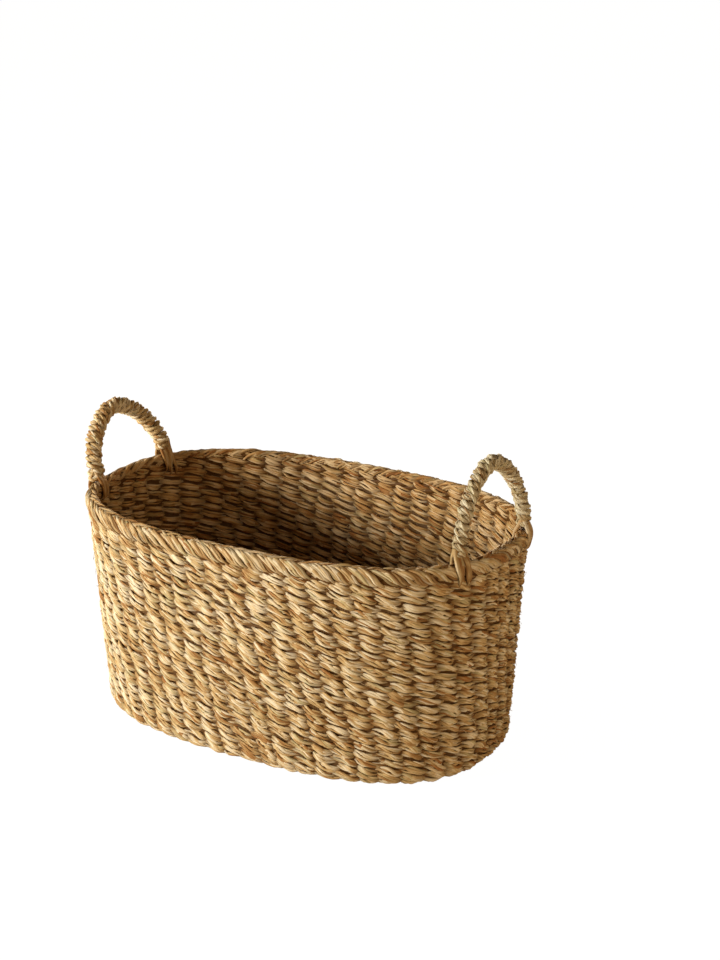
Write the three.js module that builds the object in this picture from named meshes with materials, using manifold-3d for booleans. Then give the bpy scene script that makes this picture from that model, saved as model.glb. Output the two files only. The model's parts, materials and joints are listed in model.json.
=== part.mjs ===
// Oblong laundry basket, twined from seagrass over upright stakes, with a laid border and two wrapped
// hoop handles. Millimetres, +Z up, +X along the basket, origin at the middle of the underside.
//
// The wall is a sandwich: 24 outer courses, the stake legs, and the inner weave. Each stake is one U that
// comes up one side, after crossing the floor, and up the other. The border closes the top of the wall, and
// each handle stands on two feet, bundles of strands that straddle the border.

import * as THREE from 'three';
import * as BufferGeometryUtils from 'three/addons/utils/BufferGeometryUtils.js';
import Module from 'manifold-3d';

// ---- Driving dimensions ----

const clearance = 0.3; // gap kept between neighbouring pieces

// body, measured over the outermost strands
const rimLength = 530;
const rimWidth = 336;
const rimHeight = 260;
const endTaper = 19; // how far each short end draws in from rim to floor
const sideTaper = 18; // how far each long side draws in from rim to floor
const cornerSquareness = 2.6; // 2 is an ellipse, larger is squarer

// stakes
const legCount = 54; // legs around the wall, an even number
const endLegCount = 12; // legs on each short end, an even number; the rest stand on the long sides
const stakeThickness = 3; // across the wall
const stakeWidth = 6; // along the wall
const stakeBend = 8; // how far from the corner a stake starts to turn up

// weave
const courseCount = 24;
const strandDepth = 4; // how far a course stands out from its back
const strandDip = 1.3; // how much less it stands out where it passes behind the next strand
const innerDepth = 4; // thickness of the inner weave on the wall
const floorDepth = 3.5; // thickness of the inner weave on the floor
const matDepth = 4; // thickness of the mat under the stakes
const edgeRise = 9.5; // height of the base's outer round above the underside, at its fullest
const edgeRound = 11; // how far in from its fullest the underside starts to lift
const edgeEase = 0.3; // share of the round's rise and depth at which its two slopes meet

// border
const borderHeight = 22;
const borderWidth = 14.4;
const borderLay = 1.2; // depth of the grooves between its laid strands
const borderSides = 8;

// handles
const hoopSpan = 126; // between the middles of the two feet
const leftHoopRise = 78; // from the border's crest to the hoop's middle at its top
const leftHoopShift = 6; // how far the hoop stands to the rear of the end's middle
const rightHoopRise = 94;
const rightHoopShift = -15;
const hoopThickness = 18; // over the wrapping cord
const hoopBall = 15; // diameter of the rounded ends that rock on the feet
const hoopSides = 6;
const wrapTurns = 36;
const wrapGroove = 1.5; // depth between two turns
const wrapSlant = 2.4; // how far a turn leans along the hoop
// bent by hand, so no two alike; lean is outwards in degrees
const handles = [
  { name: 'left', side: -1, shift: leftHoopShift, rise: leftHoopRise, lean: 21, squareness: 1.7 },
  { name: 'right', side: 1, shift: rightHoopShift, rise: rightHoopRise, lean: -3, squareness: 1.7 },
];

// feet
const footStrand = 4.4; // diameter of each strand bundle
const footStrands = 3;
const footPitch = 3; // between bundles on the crest, where they press together
const footSplay = 10; // between bundles at their tucked ends
const footDrop = 31; // from the border's crest down to the tucked ends
const footEase = 0.7; // further off the wall at its tucked ends, where the wall's facets cut its curve
const footSides = 5;

// ---- Derived levels, across the wall and up it ----

const stakeInset = strandDepth + clearance + stakeThickness / 2; // outermost strand to stake middle
const courseBack = stakeThickness / 2 + clearance;
const innerFace = courseBack + innerDepth;

const endRunLevel = matDepth + clearance + stakeThickness / 2;
const sideRunLevel = endRunLevel + stakeThickness + clearance;
const floorUnder = sideRunLevel + stakeThickness / 2 + clearance;
const floorTop = floorUnder + floorDepth;
const edgeTop = floorTop;
const borderUnder = rimHeight - borderHeight;
const wallTop = borderUnder - clearance;
const coursePitch = (borderUnder - edgeTop) / courseCount;
const footPush = (clearance + footStrand / 2) / Math.cos(Math.PI / 6); // bundle middle off the border's corners
const borderTurn = 360 / borderSides; // between two corners of the border's section
const footCrest = borderCorner(1.5 * borderTurn, footPush)[1] + footStrand / 2;
const hingeLevel = footCrest + clearance + hoopBall / 2;

// ---- Materials ----

function straw(color, roughness) {
  return new THREE.MeshStandardMaterial({ color, roughness, metalness: 0 });
}

const materials = {
  course: straw(0xc9a468, 0.8),
  innerWeave: straw(0x9c7443, 0.85),
  mat: straw(0xb08a52, 0.85),
  stake: straw(0xb9965c, 0.8),
  border: straw(0xd2b27c, 0.75),
  hoop: straw(0xc4a673, 0.75),
  foot: straw(0xcbb07a, 0.75),
};

// ---- Geometry helpers ----

// Turns the faces of a closed mesh outwards and gives it normals.
function closeSolid(positions, faces) {
  const at = (i) => new THREE.Vector3().fromArray(positions, 3 * i);
  let volume = 0;
  for (let f = 0; f < faces.length; f += 3) {
    volume += at(faces[f]).dot(at(faces[f + 1]).cross(at(faces[f + 2])));
  }
  if (volume < 0) {
    faces.reverse();
  }
  const geometry = new THREE.BufferGeometry();
  geometry.setAttribute('position', new THREE.Float32BufferAttribute(positions, 3));
  geometry.setIndex(faces);
  geometry.computeVertexNormals();
  return geometry;
}

// Joins a row of sections, each a list of as many points. A looped row closes on its first section; an open
// one closes at each end on a cap, or on a single point where the row starts or ends with one.
function loft(sections, { looped = false } = {}) {
  const positions = [];
  const faces = [];
  const rows = sections.map((section) => {
    const first = positions.length / 3;
    section.forEach((point) => positions.push(point.x, point.y, point.z));
    return section.map((_, i) => first + i);
  });
  const count = Math.max(...rows.map((row) => row.length));
  const pairs = looped ? rows.length : rows.length - 1;
  for (let r = 0; r < pairs; r++) {
    const a = rows[r];
    const b = rows[(r + 1) % rows.length];
    for (let i = 0; i < count; i++) {
      const j = (i + 1) % count;
      if (a.length === 1) {
        faces.push(a[0], b[j], b[i]);
      } else if (b.length === 1) {
        faces.push(a[i], a[j], b[0]);
      } else {
        faces.push(a[i], a[j], b[i], a[j], b[j], b[i]);
      }
    }
  }
  if (!looped) {
    const head = rows[0];
    const tail = rows[rows.length - 1];
    for (let i = 1; i < count - 1; i++) {
      if (head.length > 1) {
        faces.push(head[0], head[i + 1], head[i]);
      }
      if (tail.length > 1) {
        faces.push(tail[0], tail[i], tail[i + 1]);
      }
    }
  }
  return closeSolid(positions, faces);
}

// ---- Plan of the basket ----

// A closed oval with squared corners, anticlockwise from +X.
class Oval extends THREE.Curve {
  constructor(halfLength, halfWidth) {
    super();
    this.halfLength = halfLength;
    this.halfWidth = halfWidth;
    this.arcLengthDivisions = 2880;
  }

  getPoint(t, target = new THREE.Vector3()) {
    const angle = 2 * Math.PI * t;
    const power = 2 / cornerSquareness;
    const reach = (value) => Math.sign(value) * Math.abs(value) ** power;
    return target.set(this.halfLength * reach(Math.cos(angle)), this.halfWidth * reach(Math.sin(angle)), 0);
  }

  // the turn at which the oval passes a given Y on one end
  turnAt(y, side) {
    const angle = Math.asin(Math.sign(y) * Math.abs(y / this.halfWidth) ** (cornerSquareness / 2));
    return (side > 0 ? angle : Math.PI - angle) / (2 * Math.PI);
  }
}

const rimLine = new Oval(rimLength / 2 - borderWidth / 2, rimWidth / 2 - borderWidth / 2);
const floorLine = new Oval(
  rimLength / 2 - endTaper - stakeInset,
  rimWidth / 2 - sideTaper - stakeInset,
);

// The wall's middle surface as straight lines from floor to rim, with its outward direction at each line.
function wallLines(count, phase) {
  const along = (line, k) => line.getPointAt((((k + phase) / count) % 1 + 1) % 1);
  const lines = [];
  for (let k = 0; k < count; k++) {
    const foot = along(floorLine, k);
    const head = along(rimLine, k).setZ(rimHeight);
    const before = along(floorLine, k - 0.5).add(along(rimLine, k - 0.5));
    const after = along(floorLine, k + 0.5).add(along(rimLine, k + 0.5));
    const tangent = after.sub(before).normalize();
    lines.push({ foot, head, out: new THREE.Vector3(tangent.y, -tangent.x, 0) });
  }
  return lines;
}

function wallPoint(line, level, offset = 0) {
  return line.foot.clone().lerp(line.head, level / rimHeight).setZ(level).addScaledVector(line.out, offset);
}

const legLines = wallLines(legCount, 0.5);

// Sweeps a profile of [offset, level] around the wall, closed by flat faces to the middle at both ends.
function wallBowl(profile) {
  const rings = profile.map(([offset, level]) => legLines.map((line) => wallPoint(line, level, offset)));
  const middle = (level) => [new THREE.Vector3(0, 0, level)];
  const under = profile[0][1];
  const over = profile[profile.length - 1][1];
  return loft([middle(under), ...rings, middle(over)]);
}

// ---- Base and inner weave ----

function baseMat() {
  const edge = stakeInset;
  return wallBowl([
    [edge - edgeRound, 0],
    [edge - edgeRound * edgeEase, edgeRise * edgeEase],
    [edge, edgeRise],
    [courseBack, edgeTop - clearance],
    [courseBack, matDepth],
  ]);
}

function innerWeave() {
  const turn = 2 * stakeThickness;
  return wallBowl([
    [-courseBack - turn, floorUnder],
    [-courseBack, floorUnder + turn],
    [-courseBack, wallTop],
    [-innerFace, wallTop],
    [-innerFace, floorTop + turn],
    [-innerFace - turn, floorTop],
  ]);
}

// ---- Courses ----

const gapLines = wallLines(legCount, 1); // halfway between one stake and the next

// One twined course: flat against the stakes, with a ridge that swells and dips from one gap to the next.
// The swells of neighbouring courses alternate, and the lay slants down to the right.
function course(index) {
  const low = edgeTop + index * coursePitch;
  const high = low + coursePitch - clearance;
  const sections = legLines.map((line, k) => {
    const depth = courseBack + strandDepth - ((index + k) % 2) * strandDip;
    return [
      wallPoint(line, low, courseBack),
      wallPoint(gapLines[k], (low + high) / 2, depth),
      wallPoint(line, high, courseBack),
    ];
  });
  return loft(sections, { looped: true });
}

// ---- Stakes ----

const up = new THREE.Vector3(0, 0, 1);
const down = up.clone().negate();

// The section of a stake at a point: thin towards its outer side, wide along the wall.
function stakeSection(point, forward, outward) {
  const wide = forward.clone().cross(outward).normalize();
  const thin = wide.clone().cross(forward).normalize();
  const corner = (axis, reach) => point.clone().addScaledVector(axis, reach);
  return [
    corner(thin, stakeThickness / 2),
    corner(wide, stakeWidth / 2),
    corner(thin, -stakeThickness / 2),
    corner(wide, -stakeWidth / 2),
  ];
}

// The stations of one leg, from its tip in the border down to where it runs across the floor.
function legStations(line, inward, runLevel) {
  const corner = wallPoint(line, runLevel);
  const slope = corner.clone().sub(wallPoint(line, wallTop)).normalize();
  const turn = stakeBend * (1 - Math.SQRT1_2);
  const bend = corner.clone().addScaledVector(inward, turn).addScaledVector(down, -turn);
  return [
    [wallPoint(line, wallTop), slope, line.out],
    [wallPoint(line, runLevel + stakeBend), slope, line.out],
    [bend, slope.clone().add(inward), line.out.clone().add(down)],
    [corner.addScaledVector(inward, stakeBend), inward, down],
  ];
}

// One stake: a leg, the run across the floor, and the leg on the other side.
function stake(fromLeg, toLeg, runLevel) {
  const from = legLines[fromLeg];
  const to = legLines[toLeg];
  const across = wallPoint(to, runLevel).sub(wallPoint(from, runLevel)).normalize();
  const near = legStations(from, across, runLevel);
  const far = legStations(to, across.clone().negate(), runLevel).reverse();
  const sections = [
    ...near.map(([point, forward, outward]) => stakeSection(point, forward, outward)),
    ...far.map(([point, forward, outward]) => stakeSection(point, forward.clone().negate(), outward)),
  ];
  return loft(sections);
}

// ---- Border ----

// A corner of the border's section, pushed out by some distance: [offset, level].
function borderCorner(turn, push = 0) {
  const angle = THREE.MathUtils.degToRad(turn);
  const girth = Math.cos(Math.PI / borderSides);
  const normal = new THREE.Vector2(Math.cos(angle) / borderWidth, Math.sin(angle) / borderHeight);
  normal.normalize().multiplyScalar(push);
  return [
    (borderWidth / 2) * (Math.cos(angle) / girth) + normal.x,
    borderUnder + (borderHeight / 2) * (1 + Math.sin(angle) / girth) + normal.y,
  ];
}

// The stake ends laid down one over the next: the high corners of the section step round it as they go
// along the rim, so each laid strand runs down to the right over the crest.
function rimBorder() {
  const sections = wallLines(2 * legCount, 0.5).map((line, station) => {
    const corners = [];
    for (let i = 0; i < borderSides; i++) {
      const turn = (i + 0.5) * borderTurn;
      const groove = (i + station) % 2 ? -borderLay : 0;
      const [offset, level] = borderCorner(turn, groove);
      corners.push(wallPoint(line, level, offset));
    }
    return corners;
  });
  return loft(sections, { looped: true });
}

// ---- Handle feet ----

const wasm = await Module();
wasm.setup();

function toManifold(geometry) {
  const bare = geometry.clone();
  bare.deleteAttribute('normal');
  bare.deleteAttribute('uv');
  const merged = BufferGeometryUtils.mergeVertices(bare, 1e-4);
  return new wasm.Manifold(
    new wasm.Mesh({
      numProp: 3,
      vertProperties: new Float32Array(merged.getAttribute('position').array),
      triVerts: new Uint32Array(merged.getIndex().array),
    }),
  );
}

function fromManifold(solid) {
  const mesh = solid.getMesh();
  const geometry = new THREE.BufferGeometry();
  geometry.setAttribute('position', new THREE.Float32BufferAttribute(mesh.vertProperties, 3));
  geometry.setIndex([...mesh.triVerts]);
  geometry.computeVertexNormals();
  return geometry;
}

// The wall's middle line under a foot that stands at some Y on one end.
function footLine(side, y) {
  const turn = rimLine.turnAt(y, side);
  const foot = floorLine.getPoint(turn);
  const head = rimLine.getPoint(turn).setZ(rimHeight);
  const steepness = (value, half) => Math.sign(value) * Math.abs(value / half) ** (cornerSquareness - 1) / half;
  const out = new THREE.Vector3(steepness(head.x, rimLine.halfLength), steepness(head.y, rimLine.halfWidth), 0);
  return { foot, head, out: out.normalize() };
}

// One bundle laid along a route, a polygon in section with a corner on its outer side.
function bundle(route, along) {
  const sections = route.map((point, i) => {
    const before = route[Math.max(i - 1, 0)];
    const after = route[Math.min(i + 1, route.length - 1)];
    const outward = along.clone().cross(after.clone().sub(before)).normalize();
    const corners = [];
    for (let k = 0; k < footSides; k++) {
      const angle = (2 * Math.PI * k) / footSides;
      const corner = point.clone().addScaledVector(outward, (footStrand / 2) * Math.cos(angle));
      corners.push(corner.addScaledVector(along, (footStrand / 2) * Math.sin(angle)));
    }
    return corners;
  });
  return loft(sections);
}

// The strand bundles of one foot, side by side over the crest and splayed down both faces of the wall.
function handleFoot({ side, shift }, end) {
  const middle = shift + (end * hoopSpan) / 2;
  const along = footLine(side, middle).out.cross(down).normalize();
  const tail = rimHeight - footDrop;
  const outside = [
    [courseBack + strandDepth + clearance + footStrand / 2 + footEase, tail],
    borderCorner(-borderTurn / 2, footPush),
    borderCorner(borderTurn / 2, footPush),
    borderCorner(1.5 * borderTurn, footPush),
  ];
  const profile = [...outside, ...outside.map(([offset, level]) => [-offset, level]).reverse()];
  const [, crest] = outside[outside.length - 1];
  const bundles = [];
  for (let i = 0; i < footStrands; i++) {
    const lane = i - (footStrands - 1) / 2;
    const route = profile.map(([offset, level]) => {
      const splay = THREE.MathUtils.mapLinear(level, crest, tail, footPitch, footSplay);
      return wallPoint(footLine(side, middle + lane * splay), level, offset);
    });
    bundles.push(toManifold(bundle(route, along)));
  }
  return fromManifold(bundles.reduce((whole, next) => whole.add(next)));
}

// ---- Handle hoops ----

// The middle of a hoop, from its front foot over to its rear one, in a plane that leans about the line
// through both feet.
class HoopLine extends THREE.Curve {
  constructor({ side, shift, rise, lean, squareness }) {
    super();
    const front = wallPoint(footLine(side, shift - hoopSpan / 2), hingeLevel);
    const rear = wallPoint(footLine(side, shift + hoopSpan / 2), hingeLevel);
    this.centre = front.clone().lerp(rear, 0.5);
    this.backwards = rear.clone().sub(this.centre);
    const level = this.backwards.clone().cross(up).normalize();
    const angle = side * THREE.MathUtils.degToRad(lean);
    this.upwards = up.clone().multiplyScalar(Math.cos(angle)).addScaledVector(level, Math.sin(angle));
    this.aside = level.multiplyScalar(Math.cos(angle)).addScaledVector(up, -Math.sin(angle));
    this.power = 2 / squareness;
    this.rise = rimHeight + rise - hingeLevel;
  }

  getPoint(t, target = new THREE.Vector3()) {
    const across = Math.cos(Math.PI * t);
    const height = this.rise * Math.max(0, Math.sin(Math.PI * t)) ** this.power;
    return target
      .copy(this.centre)
      .addScaledVector(this.backwards, -Math.sign(across) * Math.abs(across) ** this.power)
      .addScaledVector(this.upwards, height);
  }
}

// A core bundle wrapped tight in cord: each turn is a low ridge, leaning a little along the hoop. Its ends
// are rounded about the line through both feet, where the hoop gives.
function hoop(handle) {
  const line = new HoopLine(handle);
  const length = line.getLength();
  const ring = (u, radius, slant) => {
    const corners = [];
    for (let i = 0; i < hoopSides; i++) {
      const angle = (2 * Math.PI * i) / hoopSides;
      const at = u + (slant * Math.cos(angle)) / length;
      const across = line.aside.clone().cross(line.getTangentAt(at));
      const corner = line.getPointAt(at).addScaledVector(line.aside, radius * Math.cos(angle));
      corners.push(corner.addScaledVector(across, radius * Math.sin(angle)));
    }
    return corners;
  };
  const ball = hoopBall / 2;
  const cap = (u) => {
    const inset = ball * Math.SQRT1_2;
    const backwards = line.getTangentAt(u).multiplyScalar(u ? inset : -inset);
    const bevel = ring(u, inset, 0).map((point) => point.add(backwards));
    return [[line.getPointAt(u).addScaledVector(down, ball)], bevel, ring(u, ball, 0)];
  };
  const turns = [];
  const margin = (wrapSlant + 2 * wrapGroove) / length;
  for (let half = 0; half <= 2 * wrapTurns; half++) {
    const u = THREE.MathUtils.lerp(margin, 1 - margin, half / (2 * wrapTurns));
    turns.push(ring(u, hoopThickness / 2 - (half % 2 ? 0 : wrapGroove), wrapSlant));
  }
  return loft([...cap(0), ...turns, ...cap(1).reverse()]);
}

// ---- Assembly ----

const basket = new THREE.Group();

function addPiece(name, geometry, material) {
  const mesh = new THREE.Mesh(geometry, material);
  mesh.name = name;
  basket.add(mesh);
}

addPiece('base_mat', baseMat(), materials.mat);
addPiece('inner_weave', innerWeave(), materials.innerWeave);

for (let index = 0; index < courseCount; index++) {
  addPiece(`course_${String(index + 1).padStart(2, '0')}`, course(index), materials.course);
}

const halfEnd = endLegCount / 2;
for (let leg = -halfEnd; leg < halfEnd; leg++) {
  const from = (leg + legCount) % legCount;
  const to = legCount / 2 - 1 - leg;
  const name = `stake_long_${String(leg + halfEnd + 1).padStart(2, '0')}`;
  addPiece(name, stake(from, to, endRunLevel), materials.stake);
}
for (let leg = halfEnd; leg < legCount / 2 - halfEnd; leg++) {
  const name = `stake_cross_${String(leg - halfEnd + 1).padStart(2, '0')}`;
  addPiece(name, stake(leg, legCount - 1 - leg, sideRunLevel), materials.stake);
}

addPiece('rim_border', rimBorder(), materials.border);

for (const handle of handles) {
  addPiece(`handle_${handle.name}_foot_front`, handleFoot(handle, -1), materials.foot);
  addPiece(`handle_${handle.name}_foot_rear`, handleFoot(handle, 1), materials.foot);
  addPiece(`handle_${handle.name}_hoop`, hoop(handle), materials.hoop);
}

export default basket;
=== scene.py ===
import json
import math

import bmesh
import bpy
import numpy as np
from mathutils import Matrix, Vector


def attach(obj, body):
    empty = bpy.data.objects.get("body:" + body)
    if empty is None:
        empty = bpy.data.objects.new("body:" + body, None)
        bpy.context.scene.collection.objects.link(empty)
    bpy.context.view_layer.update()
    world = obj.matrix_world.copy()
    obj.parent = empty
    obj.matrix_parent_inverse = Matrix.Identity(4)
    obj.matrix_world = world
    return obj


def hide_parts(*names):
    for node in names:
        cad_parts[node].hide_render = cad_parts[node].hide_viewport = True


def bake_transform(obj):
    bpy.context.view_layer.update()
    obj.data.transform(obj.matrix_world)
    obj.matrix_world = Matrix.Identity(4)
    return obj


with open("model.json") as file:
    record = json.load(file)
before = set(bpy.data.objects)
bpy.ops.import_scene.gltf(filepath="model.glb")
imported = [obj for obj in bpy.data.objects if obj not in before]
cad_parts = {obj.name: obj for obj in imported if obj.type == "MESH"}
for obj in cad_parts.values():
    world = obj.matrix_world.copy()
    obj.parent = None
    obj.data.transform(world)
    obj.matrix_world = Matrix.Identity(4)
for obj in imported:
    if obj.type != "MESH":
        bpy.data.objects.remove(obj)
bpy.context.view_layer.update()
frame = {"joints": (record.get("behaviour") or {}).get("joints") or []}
bpy.context.scene.view_settings.view_transform = "Standard"

# Camera, above the rim in front of the long side and to its right

cameraLook = {
    "place": (1.15208, -1.81608, 1.00855),
    "aim": (0.02772, 0.07823, 0.27052),
    "lens": 75.0,
}


def addObject(name, data):
    thing = bpy.data.objects.new(name, data)
    bpy.context.scene.collection.objects.link(thing)
    return thing


def standAt(thing, place, aim):
    thing.location = place
    thing.rotation_euler = (Vector(aim) - Vector(place)).to_track_quat("-Z", "Y").to_euler()


def makeCamera(look):
    data = bpy.data.cameras.new("camera")
    data.lens = look["lens"]
    camera = addObject("camera", data)
    standAt(camera, look["place"], look["aim"])
    bpy.context.scene.camera = camera


makeCamera(cameraLook)
print("camera set")

# The form that every strand follows: an oval wall, leaning out from floor to rim

form = {
    "rimHalf": (0.2578, 0.1608),  # to the middle of the wall
    "floorHalf": (0.2402, 0.1442),
    "squareness": 2.6,
    "height": 0.260,
    "stakes": 54,
    "endStakes": 12,
    "courses": 24,
    "floorTop": 0.0144,
    "wallTop": 0.238,
    "lean": 0.040,  # how far the columns of stitches drift over the wall's height
    "readLevel": 0.25,  # where places along the rim are read
    "ovalSteps": 7200,
    "nearby": 0.003,  # share of the way round, to each side, that gives the wall's direction
}


def signedPower(value, power):
    return np.sign(value) * np.abs(value) ** power


def runningTotal(steps):
    return np.concatenate([[0], np.cumsum(steps)])


def ovalLine(half):
    turn = np.linspace(0, 2 * np.pi, form["ovalSteps"] + 1)
    power = 2 / form["squareness"]
    x = half[0] * signedPower(np.cos(turn), power)
    y = half[1] * signedPower(np.sin(turn), power)
    along = runningTotal(np.hypot(np.diff(x), np.diff(y)))
    return {"share": along / along[-1], "x": x, "y": y, "length": along[-1]}


rimOval = ovalLine(form["rimHalf"])
floorOval = ovalLine(form["floorHalf"])


def wallMiddle(share, level):
    share = np.mod(share, 1.0)
    t = level / form["height"]
    middle = []
    for axis in ("x", "y"):
        low = np.interp(share, floorOval["share"], floorOval[axis])
        high = np.interp(share, rimOval["share"], rimOval[axis])
        middle.append((1 - t) * low + t * high)
    return middle


def onWall(share, level, out):
    share = np.asarray(share, float)
    level = np.broadcast_to(np.asarray(level, float), share.shape)
    out = np.broadcast_to(np.asarray(out, float), share.shape)
    x, y = wallMiddle(share, level)
    xBefore, yBefore = wallMiddle(share - form["nearby"], level)
    xAfter, yAfter = wallMiddle(share + form["nearby"], level)
    dx, dy = xAfter - xBefore, yAfter - yBefore
    size = np.hypot(dx, dy)
    return np.stack([x + out * dy / size, y - out * dx / size, level], 1)


def onRolledWall(share, level, out, roll, awayOut, awayUp):
    cosine, sine = math.cos(roll), math.sin(roll)
    return onWall(share, level - awayOut * sine + awayUp * cosine, out + awayOut * cosine + awayUp * sine)


def perimeter(level):
    t = level / form["height"]
    return (1 - t) * floorOval["length"] + t * rimOval["length"]


def columnDrift(level):
    return -form["lean"] * (level / form["height"] - 0.5) / perimeter(level)


def wander(rng, count, knots, amount, closed=True):
    values = rng.uniform(-1, 1, knots)
    at = np.arange(count) * knots / count if closed else np.linspace(0, knots - 1, count)
    low = np.floor(at).astype(int)
    ease = at - low
    ease = ease * ease * (3 - 2 * ease)
    if closed:
        after = values[(low + 1) % knots]
        low = low % knots
    else:
        low = np.minimum(low, knots - 1)
        after = values[np.minimum(low + 1, knots - 1)]
    return amount * (values[low] * (1 - ease) + after * ease)


# Strands: leaf sections swept along lines, then made into one mesh

leafMapping = {
    "nameStep": 7,  # pieces start at different strand numbers
    "nameRange": 500,
    "strandRange": 389,  # strands whose numbers differ by this look alike
    "strandStep": 16.0,
    "slipRange": 13,
    "slip": 0.37,  # metres along a leaf, from one strand to the next
    "bakeGirth": 0.010,  # metres round a strand in the baked map
    "bakeMargin": 0.06,
    "bakeFill": 0.88,
}


def leafSection(name, depth, width, corners):
    data = bpy.data.curves.new(name, "CURVE")
    data.dimensions = "2D"
    spline = data.splines.new("POLY")
    spline.points.add(corners - 1)
    for i in range(corners):
        turn = -2 * math.pi * i / corners  # clockwise, so the swept faces point out
        spline.points[i].co = (depth / 2 * math.cos(turn), width / 2 * math.sin(turn), 0, 1)
    spline.use_cyclic_u = True
    section = bpy.data.objects.new(name, data)
    section["corners"] = corners
    return section


def strand(points, girth, tilt, tuck, inner=0.0):
    one = {"points": points}
    for key, value in (("girth", girth), ("tilt", tilt), ("tuck", tuck), ("inner", inner)):
        one[key] = np.broadcast_to(np.asarray(value, float), (len(points),)).astype(np.float32)
    return one


def pointed(girth):
    girth[0] = girth[-1] = 0
    return girth


def sweepStrands(name, strands, section, closed, twist="MINIMUM"):
    curve = bpy.data.curves.new(name, "CURVE")
    curve.dimensions = "3D"
    curve.bevel_mode = "OBJECT"
    curve.bevel_object = section
    curve.twist_mode = twist
    for one in strands:
        spline = curve.splines.new("POLY")
        count = len(one["points"])
        spline.points.add(count - 1)
        co = np.ones((count, 4), np.float32)
        co[:, :3] = one["points"]
        spline.points.foreach_set("co", co.ravel())
        spline.points.foreach_set("radius", one["girth"])
        spline.points.foreach_set("tilt", one["tilt"])
        spline.use_cyclic_u = closed
    bpy.context.scene.collection.objects.link(section)
    line = addObject(name + "Line", curve)
    bpy.context.view_layer.update()
    graph = bpy.context.evaluated_depsgraph_get()
    mesh = bpy.data.meshes.new_from_object(line.evaluated_get(graph))
    mesh.name = name
    bpy.data.objects.remove(line)
    bpy.context.scene.collection.objects.unlink(section)
    mapLeaves(mesh, strands, section["corners"], closed)
    if not closed:
        closeTips(mesh)
    return addObject(name, mesh)


def strandLengths(strands, closed):
    lengths = []
    for one in strands:
        points = one["points"]
        following = np.roll(points, -1, 0) if closed else points[1:]
        steps = np.linalg.norm(following - points[: len(following)], axis=1)
        lengths.append(runningTotal(steps))
    return lengths


def writeMap(layer, u, v):
    layer.uv.foreach_set("vector", np.stack([u, v], 2).astype(np.float32).ravel())


def mapLeaves(mesh, strands, corners, closed):
    look = leafMapping
    # which strand, station and side each corner of each face is on
    counts = np.array([len(one["points"]) for one in strands])
    firstVertex = runningTotal(counts * corners)
    vertex = np.zeros(len(mesh.loops), np.int32)
    mesh.loops.foreach_get("vertex_index", vertex)
    vertex = vertex.reshape(-1, 4)
    owner = np.searchsorted(firstVertex, vertex[:, 0], side="right") - 1
    local = vertex - firstVertex[owner][:, None]
    station, side = local // corners, local % corners
    wraps = (station.max(1) - station.min(1) > 1)[:, None] & (station == 0)
    station = np.where(wraps, counts[owner][:, None], station)
    turns = (side.max(1) - side.min(1) > 1)[:, None] & (side == 0)
    around = np.where(turns, corners, side) / corners
    lengths = strandLengths(strands, closed)
    firstStation = runningTotal([len(one) for one in lengths])
    along = np.concatenate(lengths)[firstStation[owner][:, None] + station]
    # the map that the grass reads
    leaf = mesh.uv_layers[0]
    leaf.name = "leafMap"
    number = owner + look["nameStep"] * sum(map(ord, mesh.name)) % look["nameRange"]
    apart = look["strandStep"] * (number % look["strandRange"])[:, None]
    slip = look["slip"] * (owner % look["slipRange"])[:, None]
    writeMap(leaf, around + apart, along + slip)
    # a second map without overlaps, for baking: the strands end to end, in rows
    starts = runningTotal([one[-1] for one in lengths])
    rows = max(1, round(math.sqrt(starts[-1] / look["bakeGirth"])))
    rowLength = starts[-1] / rows
    place = starts[owner][:, None] + along
    row = np.minimum(np.floor(place.min(1) / rowLength), rows - 1)[:, None]
    longest = max(float(np.diff(one).max()) for one in lengths)
    bake = mesh.uv_layers.new(name="OFBake", do_init=False)
    across = (place - row * rowLength) / (rowLength + longest)
    writeMap(bake, across, (row + look["bakeMargin"] + look["bakeFill"] * around) / rows)
    mesh.uv_layers.active = leaf
    for name in ("tuck", "inner"):  # painted shade, and the painted shade of the basket's inside
        values = mesh.attributes.new(name, "FLOAT", "POINT")
        values.data.foreach_set("value", np.concatenate([np.repeat(one[name], corners) for one in strands]))


tipGap = 1e-6  # points closer than this become one


def closeTips(mesh):
    shape = bmesh.new()
    shape.from_mesh(mesh)
    bmesh.ops.remove_doubles(shape, verts=shape.verts, dist=tipGap)
    shape.to_mesh(mesh)
    shape.free()


# Dried grass: shared colour and grain for every strand

pattern = {
    "leafShift": 0.618,  # leaf lengths, from the leaf ends of one strand to those of the next
    "strandShift": 1.37,
    # noises along a leaf: ring, stretch, scale, detail, roughness
    "streak": (0.75, 20.0, 1.6, 4.0, 0.62),
    "fine": (5.0, 45.0, 1.3, 2.0, 0.6),
    "blotch": (1.0, 55.0, 1.0, 2.0, 0.5),
    # noises through the whole basket: scale, detail, roughness
    "area": (14.0, 3.0, 0.6),
    "patch": (75.0, 1.0, 0.5),
    "leafTone": 0.72,
    "blotchTone": 0.9,
    "straw": (0.05, 0.42),  # tones between which the colour turns from the one before
    "tan": (0.40, 0.74),
    # odd leaves: the random numbers and the blotches between which they show, and how strongly
    "russet": ((0.80, 0.95), (0.40, 0.62), 0.85),
    "olive": ((0.78, 0.92), (0.35, 0.60), 0.8),
    "streakShare": 0.65,
    "fineShare": 0.35,
    "smoothest": 0.45,
    "roughening": 0.25,
}


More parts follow.
